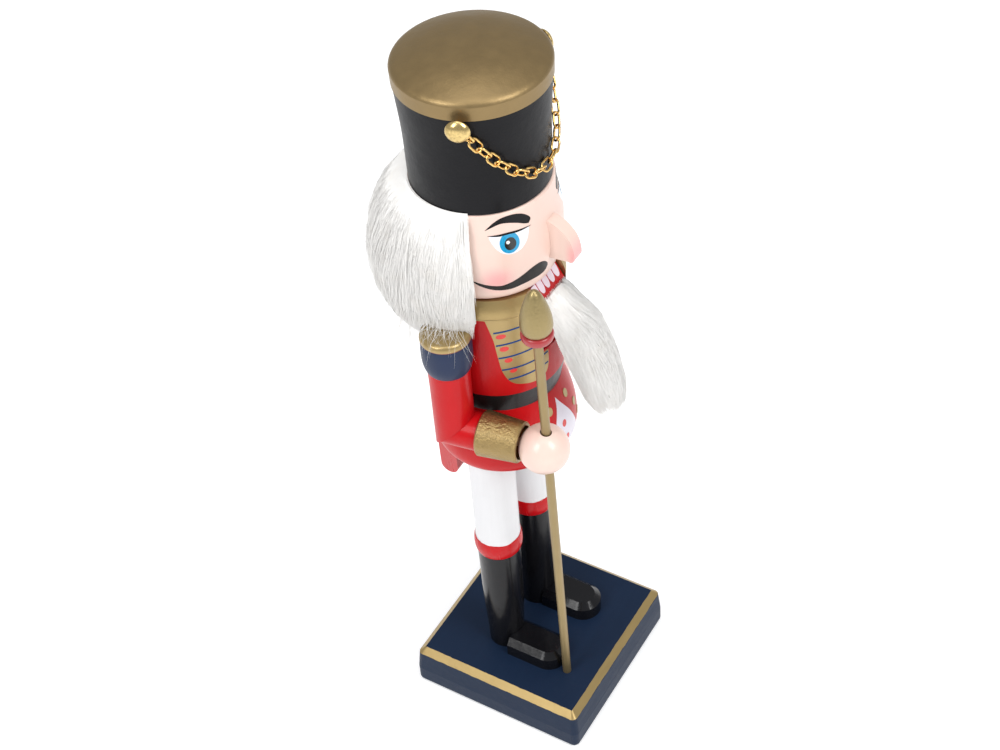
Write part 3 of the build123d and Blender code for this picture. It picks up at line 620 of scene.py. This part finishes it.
# ----------------------------------------------------------------------- fur
def fur_material(name):
    """Soft synthetic fur: white with warmer shadows."""
    material = bpy.data.materials.new(name)
    material.use_nodes = True
    tree = material.node_tree
    shader = tree.nodes["Principled BSDF"]
    at = Coords(tree)
    cloud = noise(tree, at.place, 120, 4)
    fine = noise(tree, at.place, 900, 3, (1.0, 1.0, 0.2))
    warm = value_node(tree, "MULTIPLY", ramp(tree, cloud, 0.45, 0.75), 0.5)
    tint = mix_colour(tree, warm, FUR, FUR_WARM)
    grey = tuple(c * 0.95 for c in FUR)
    tree.links.new(mix_colour(tree, ramp(tree, fine, 0.5, 0.8), tint, grey),
                   shader.inputs["Base Color"])
    shader.inputs["Roughness"].default_value = 0.75
    shader.inputs["Specular IOR Level"].default_value = 0.15
    # painted light: a glow in the fur's own colour stands in for light scattered between the
    # hairs
    shader.inputs["Emission Color"].default_value = (*FUR, 1)
    shader.inputs["Emission Strength"].default_value = 0.13
    relief = tree.nodes.new("ShaderNodeBump")
    relief.inputs["Strength"].default_value = 0.2
    relief.inputs["Distance"].default_value = 0.0002
    tree.links.new(fine, relief.inputs["Height"])
    tree.links.new(relief.outputs["Normal"], shader.inputs["Normal"])
    return material


white_fur = fur_material("white_fur")


def strands(name, paths, outward, radius, body, rng):
    """One mesh of thin tapered strands along paths, an array (count, points, 3) in mm.

    outward has the same shape: the way out of the fur at each point. The strands are
    shaded mostly by it, so that the fur looks soft.
    """
    count, steps, _ = paths.shape
    along = np.gradient(paths, axis=1)
    along /= np.linalg.norm(along, axis=2, keepdims=True) + 1e-12
    ref = rng.normal(size=(count, 1, 3))
    n = np.cross(along, ref)
    n /= np.linalg.norm(n, axis=2, keepdims=True) + 1e-12
    b = np.cross(along, n)
    t = np.linspace(0, 1, steps)
    thick = radius * (0.55 + 0.45 * np.minimum(1, t * 5)) * (1 - 0.88 * t ** 2.5)
    thick = thick[None, :, None] * rng.uniform(0.7, 1.3, (count, 1, 1))
    rings = [paths + (n * math.cos(a) + b * math.sin(a)) * thick
             for a in (0, 2 * math.pi / 3, 4 * math.pi / 3)]
    verts = np.stack(rings, axis=2).reshape(-1, 3) * MM
    round_about = [0.30 * (n * math.cos(a) + b * math.sin(a)) + 0.70 * outward
                   for a in (0, 2 * math.pi / 3, 4 * math.pi / 3)]
    soft = np.stack(round_about, axis=2).reshape(-1, 3)
    soft /= np.linalg.norm(soft, axis=1, keepdims=True) + 1e-12
    first = (np.arange(count) * steps * 3)[:, None, None]
    seg = (np.arange(steps - 1) * 3)[None, :, None]
    side = np.arange(3)[None, None, :]
    nxt = (side + 1) % 3
    quads = np.stack([first + seg + side, first + seg + nxt, first + seg + 3 + nxt,
                      first + seg + 3 + side], axis=3).reshape(-1, 4)
    root = first[:, 0] + np.array([[2, 1, 0]])
    tip = first[:, 0] + (steps - 1) * 3 + np.array([[0, 1, 2]])
    caps = np.concatenate([root, tip]).reshape(-1, 3)
    loops = np.concatenate([quads.ravel(), caps.ravel()])
    totals = np.concatenate([np.full(len(quads), 4), np.full(len(caps), 3)])
    starts = np.concatenate([[0], np.cumsum(totals)[:-1]])
    mesh = bpy.data.meshes.new(name)
    mesh.vertices.add(len(verts))
    mesh.vertices.foreach_set("co", verts.astype(np.float32).ravel())
    mesh.loops.add(len(loops))
    mesh.loops.foreach_set("vertex_index", loops.astype(np.int32))
    mesh.polygons.add(len(totals))
    mesh.polygons.foreach_set("loop_start", starts.astype(np.int32))
    mesh.polygons.foreach_set("loop_total", totals.astype(np.int32))
    mesh.polygons.foreach_set("use_smooth", np.ones(len(totals), bool))
    mesh.update(calc_edges=True)
    mesh.normals_split_custom_set_from_vertices(soft.tolist())
    mesh.materials.append(white_fur)
    obj = bpy.data.objects.new(name, mesh)
    bpy.context.scene.collection.objects.link(obj)
    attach(obj, body)
    return obj


HAIR_BACK = 9.5
HAIR_Z = (236.0, 243.0, 254.0, 265.5, 278.0, 290.0, 301.0, 309.2, 313.0, 316.4)
HAIR_R = (28.0, 33.6, 39.4, 42.3, 42.8, 40.8, 37.4, 32.6, 28.8, 22.6)
HAIR_THIN = (36.0, 36.2, 36.8, 37.2, 37.4, 37.0, 35.6, 34.0, 32.8, 31.2)
INNER_Z = (236.0, 262.0, 275.0, 283.0, 290.5, 298.0, 305.0, 313.6, 314.9, 317.0)
INNER_R = (34.6, 33.4, 33.5, 34.1, 34.3, 33.8, 32.7, 31.2, 30.35, 30.35)


def hair_outside(angle, z):
    """Outer radius of the hair about the head's axis, angle from the front."""
    rc = np.interp(z, HAIR_Z, HAIR_R)
    thin = np.interp(z, HAIR_Z, HAIR_THIN)
    under = np.maximum(rc ** 2 - (HAIR_BACK * np.sin(angle)) ** 2, 1)
    return np.maximum(-HAIR_BACK * np.cos(angle) + np.sqrt(under), thin)


def hair_point(angle, z, depth):
    inner = np.interp(z, INNER_Z, INNER_R)
    r = inner + depth * (hair_outside(angle, z) - inner)
    return np.stack([np.sin(angle) * r, HEAD_Y - np.cos(angle) * r, z + 0 * r], axis=-1)


def smoothstep(x, low, high):
    t = np.clip((x - low) / (high - low), 0, 1)
    return t * t * (3 - 2 * t)


def hair_paths(count, length, depth, rng, stray=0.0, steps=8):
    angle = np.radians(rng.uniform(68, 292, count))
    top = 316.0 - 54 * rng.uniform(0, 1, count) ** 0.92
    span = rng.uniform(*length, count)
    t = np.linspace(0, 1, steps)[None, :]
    off = np.minimum(angle, 2 * math.pi - angle)
    floor = 257.5 - 13.5 * smoothstep(np.degrees(off), 100, 125) + rng.uniform(-5, 3, count)
    foot = np.maximum(top - span, floor)
    z = top[:, None] + (foot - top)[:, None] * t
    d0 = rng.uniform(*depth, count)[:, None]
    d = d0 * (0.55 + 0.45 * np.minimum(1, t * 3)) + rng.uniform(0.0, 0.16, (count, 1)) * t
    d = d + stray * rng.normal(0, 1, (count, 1)) * t ** 2
    sway = (0.035 * np.sin(9 * angle[:, None] + 0.11 * z) + 0.02 * np.sin(
        23 * angle[:, None] - 0.07 * z + 1.3)) * t
    sway = sway + rng.normal(0, 0.02 + stray * 0.05, (count, 1)) * t
    edge = np.radians(66.3 + 5.5 * rng.uniform(0, 1, (count, 1)) ** 2)
    swing = np.clip(angle[:, None] + sway, edge, 2 * math.pi - edge)
    return hair_point(swing, z, d)


SHOULDER_X = 39.0
SHOULDER_Y = 11.7
SHOULDER_R = 11.9
SHOULDER_TOP = 257.1


def clear_arms(paths):
    """Lifts or pushes strands off the two round shoulders."""
    for sx in (-1, 1):
        axis = np.array([SHOULDER_X * sx, SHOULDER_Y])
        gap = paths[..., :2] - axis
        far = np.linalg.norm(gap, axis=-1)
        deep = (far < SHOULDER_R) & (paths[..., 2] < SHOULDER_TOP)
        up = SHOULDER_TOP - paths[..., 2]
        out = SHOULDER_R - far
        lift = deep & (up <= out)
        push = deep & ~lift
        eased = SHOULDER_TOP + 0.15 * (paths[..., 2] - SHOULDER_TOP)
        paths[..., 2] = np.where(lift, eased, paths[..., 2])
        scale = np.where(push, SHOULDER_R / np.maximum(far, 1e-6), 1.0)
        paths[..., :2] = axis + gap * scale[..., None]
    return paths


def closed_grid(name, outer, inner, body):
    """Closed shell between two grids of points (rows, columns, 3) in mm."""
    rows, cols, _ = outer.shape
    verts = np.concatenate([outer.reshape(-1, 3), inner.reshape(-1, 3)]) * MM
    n = rows * cols
    faces = []
    for i in range(rows - 1):
        for j in range(cols - 1):
            a, b = i * cols + j, i * cols + j + 1
            c, d = a + cols + 1, a + cols
            faces.append((a, b, c, d))
            faces.append((d + n, c + n, b + n, a + n))
    rim = ([j for j in range(cols)] + [i * cols + cols - 1 for i in range(1, rows)]
           + [(rows - 1) * cols + j for j in range(cols - 2, -1, -1)]
           + [i * cols for i in range(rows - 2, 0, -1)])
    for a, b in zip(rim, rim[1:] + rim[:1]):
        faces.append((b, a, a + n, b + n))
    return make_object(name, verts, faces, white_fur, body, 60)


def hair_mass():
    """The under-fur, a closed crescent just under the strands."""
    angles = np.radians(np.linspace(69, 291, 120))
    up = np.linspace(0, 1, 46)
    off = np.degrees(np.minimum(angles, 2 * math.pi - angles))
    floor = 259.0 - 14.0 * smoothstep(off, 100, 125)
    z = floor[None, :] + (316.2 - floor)[None, :] * up[:, None]
    a = angles[None, :] + 0 * z
    end = smoothstep(off, 69, 80)[None, :] * smoothstep(up, 0, 0.1)[:, None]
    ripple = 0.02 * np.sin(30 * a + 0.1 * z) + 0.02 * np.sin(47 * a - 0.17 * z)
    outer = hair_point(a, z, 0.12 + 0.78 * end + ripple)
    inner = hair_point(a, z, 0.02 + 0 * z)
    return closed_grid("hair_mass", outer, inner, "figure")


def hair_outward(paths):
    """The way out of the hair at each point."""
    out = paths - np.array([0.0, HEAD_Y + HAIR_BACK * 0.6, 0.0])
    out[..., 2] = 0.55 * (paths[..., 2] - 276.0)
    return out / np.linalg.norm(out, axis=-1, keepdims=True)


def hair_strands(name, count, length, depth, radius, stray=0.0):
    paths = clear_arms(hair_paths(int(count * scale_count), length, depth, rng, stray))
    strands(name, paths, hair_outward(paths), radius, "figure", rng)


WISP_Z = 258.3      # loose hairs lie on the epaulettes at this height
WISP_RIM = 12.0     # and hang down beyond this distance from the shoulder's middle


def shoulder_wisps(count):
    """Long loose hairs lying out over the tops of the shoulders."""
    side = rng.choice([-1.0, 1.0], count)[:, None]
    angle = rng.uniform(78, 118, count)[:, None]
    turn = np.radians(angle) * side
    t = np.linspace(0, 1, 8)[None, :]
    start = hair_point(turn, rng.uniform(262, 270, (count, 1)), 0.9)
    reach = rng.uniform(5, 16, (count, 1)) * t ** 1.3
    way = turn + rng.normal(0, 0.5, (count, 1)) + 0.5 * t * rng.normal(0, 1, (count, 1))
    x = start[..., 0] + np.sin(way) * reach
    y = start[..., 1] - np.cos(way) * reach
    lying = WISP_Z - start[..., 2]
    z = start[..., 2] + lying * np.minimum(1, 1.5 * t) ** 0.7
    # past the rim of the shoulder they hang down
    rim = np.hypot(x - SHOULDER_X * side, y - SHOULDER_Y) - WISP_RIM
    z = z - 2.2 * np.clip(rim, 0, 5) * t
    paths = np.stack([x, y, z + rng.uniform(0, 0.8, (count, 1)) * t], axis=-1)
    strands("shoulder_wisps", paths, hair_outward(paths), 0.075, "figure", rng)


rng = np.random.default_rng(11)
scale_count = 1.0
hair = hair_mass()
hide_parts("hair")
STRANDS = 4500      # in one mesh, under 200000 triangles
for k in range(4):
    hair_strands(f"hair_fur_{k}", STRANDS, (14, 34), (0.70, 1.0), 0.11)
hair_strands("hair_wisps", 1200, (20, 38), (0.9, 1.04), 0.06, 0.04)
shoulder_wisps(int(240 * scale_count))

BEARD = ((-19.5, 261.6, -121, 10.4, 1.3), (-25.0, 252.4, -126, 11.2, 4.6),
         (-32.0, 243.0, -122, 12.2, 9.0), (-38.4, 228.0, -112, 11.6, 9.6),
         (-42.8, 214.0, -104, 10.6, 8.8), (-45.4, 204.5, -98, 7.8, 6.4),
         (-46.6, 199.5, -96, 4.4, 3.6))
BEARD_U = (0.0, 0.17, 0.36, 0.62, 0.85, 1.0, 1.1)


def beard_point(u, turn, depth):
    """Point of the beard: u runs down it, turn round it, depth 1 is its surface."""
    y, z, tilt, hx, ht = (np.interp(u, BEARD_U, [row[k] for row in BEARD]) for k in range(5))
    tilt = np.radians(tilt)
    c, s = np.cos(turn) * hx * depth, np.sin(turn) * ht * depth
    return np.stack([c, y - np.sin(tilt) * s, z + np.cos(tilt) * s], axis=-1)


def beard_paths(count, length, depth, rng, stray=0.0, steps=8):
    u0 = rng.uniform(0.0, 0.92, count) ** 1.1
    u1 = np.minimum(u0 + rng.uniform(*length, count), rng.uniform(0.93, 1.02, count))
    turn = rng.uniform(0, 2 * math.pi, count)[:, None]
    t = np.linspace(0, 1, steps)[None, :]
    u = u0[:, None] + (u1 - u0)[:, None] * t
    d0 = rng.uniform(*depth, count)[:, None]
    d = d0 * (0.84 + 0.16 * np.minimum(1, t * 3)) + rng.uniform(0, 0.08, (count, 1)) * t
    d = d + stray * rng.normal(0, 1, (count, 1)) * t ** 2
    sway = 0.10 * np.sin(5 * turn + 7 * u) * t + rng.normal(0, 0.07 + stray, (count, 1)) * t
    return beard_point(u, turn + sway, d)


def beard_mass():
    """Packed under-fur of the beard, closed at both ends."""
    us = np.linspace(0.02, 1.0, 44)
    turns = np.linspace(0, 2 * math.pi, 49)[:-1]
    ring = []
    for u in us:
        end = float(smoothstep(u, 0.0, 0.08) * (1 - 0.9 * smoothstep(u, 0.88, 1.01)))
        ring.append(beard_point(u + 0 * turns, turns, 0.45 + 0.48 * end))
    verts = [beard_point(us[0] - 0.01, 0.0, 0.0)] + [p for r in ring for p in r]
    verts.append(beard_point(us[-1] + 0.01, 0.0, 0.0))
    n = len(turns)
    faces = []
    for j in range(n):
        k = (j + 1) % n
        faces.append((0, 1 + j, 1 + k))
        for i in range(len(us) - 1):
            a = 1 + i * n
            faces.append((a + j, a + n + j, a + n + k, a + k))
        last = 1 + (len(us) - 1) * n
        faces.append((last + j, len(verts) - 1, last + k))
    return make_object("beard_mass", np.array(verts) * MM, faces, white_fur, "jaw",
                       60)


beard = beard_mass()
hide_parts("beard")


def beard_outward(paths):
    """The way out of the beard at each point, off a line down its middle."""
    z = [row[1] for row in BEARD][::-1]
    y = [row[0] for row in BEARD][::-1]
    middle = np.interp(paths[..., 2], z, y)
    out = np.stack([paths[..., 0] * 0.8, paths[..., 1] - middle - 1.0,
                    0.10 * (paths[..., 2] - 235.0)], axis=-1)
    return out / (np.linalg.norm(out, axis=-1, keepdims=True) + 1e-9)


def beard_strands(name, count, length, depth, radius, stray=0.0):
    paths = beard_paths(int(count * scale_count), length, depth, rng, stray)
    strands(name, paths, beard_outward(paths), radius, "jaw", rng)


for k in range(2):
    beard_strands(f"beard_fur_{k}", STRANDS, (0.18, 0.42), (0.93, 1.04), 0.11)
beard_strands("beard_wisps", 600, (0.3, 0.5), (0.97, 1.06), 0.06, 0.03)

# ---------------------------------------------------- floor, light, camera
floor_mesh = bpy.data.meshes.new("floor")
floor_mesh.from_pydata([(-4, -4, 0), (4, -4, 0), (4, 4, 0), (-4, 4, 0)], [], [(0, 1, 2, 3)])
floor = bpy.data.objects.new("floor", floor_mesh)
bpy.context.scene.collection.objects.link(floor)
floor_paint = bpy.data.materials.new("floor_pale")
floor_paint.use_nodes = True
floor_shader = floor_paint.node_tree.nodes["Principled BSDF"]
floor_shader.inputs["Base Color"].default_value = (0.90, 0.90, 0.90, 1)
floor_shader.inputs["Roughness"].default_value = 0.8
# a white sweep lit from behind, as in a product shot
floor_shader.inputs["Emission Color"].default_value = (1.0, 1.0, 1.0, 1)
floor_shader.inputs["Emission Strength"].default_value = 0.32
floor_mesh.materials.append(floor_paint)

world = bpy.data.worlds.new("studio")
world.use_nodes = True
world.node_tree.nodes["Background"].inputs["Color"].default_value = (0.97, 0.98, 1.0, 1)
world.node_tree.nodes["Background"].inputs["Strength"].default_value = 0.52
bpy.context.scene.world = world

TARGET = Vector((0, 0, 0.21))


def softbox(name, azimuth, elevation, distance, width, height, power):
    """Area light aimed at the figure. Azimuth 0 is in front of it."""
    a, e = math.radians(azimuth), math.radians(elevation)
    out = Vector((math.sin(a) * math.cos(e), -math.cos(a) * math.cos(e), math.sin(e)))
    light = bpy.data.lights.new(name, "AREA")
    light.shape = "RECTANGLE"
    light.size = width
    light.size_y = height
    light.energy = power
    obj = bpy.data.objects.new(name, light)
    obj.location = TARGET + out * distance
    obj.rotation_euler = (-out).to_track_quat("-Z", "Y").to_euler()
    bpy.context.scene.collection.objects.link(obj)


softbox("softbox_left", -105, 42, 1.5, 0.5, 0.9, 10)
softbox("softbox_right", -8, 45, 1.5, 0.5, 0.9, 11.5)
softbox("softbox_top", -56, 86, 1.6, 1.0, 1.0, 6)

AZIMUTH, ELEVATION, ROLL = math.radians(-56.115), math.radians(44.181), math.radians(-4.937)
back = Vector((math.sin(AZIMUTH) * math.cos(ELEVATION), -math.cos(AZIMUTH) * math.cos(ELEVATION),
               math.sin(ELEVATION)))
level_right = (-back).cross(Vector((0, 0, 1))).normalized()
level_up = level_right.cross(-back)
right = level_right * math.cos(ROLL) + level_up * math.sin(ROLL)
up = level_up * math.cos(ROLL) - level_right * math.sin(ROLL)
camera = bpy.data.objects.new("camera", bpy.data.cameras.new("camera"))
camera.data.lens = 66.4165
camera.data.sensor_width = 36.0
camera.data.clip_start = 0.05
camera.data.clip_end = 20.0
camera.matrix_world = Matrix.Translation((-0.50350, -0.32647, 0.78570)) @ Matrix(
    (right, up, back)).transposed().to_4x4()
bpy.context.scene.collection.objects.link(camera)
bpy.context.scene.camera = camera
bpy.context.scene.view_settings.view_transform = "Standard"
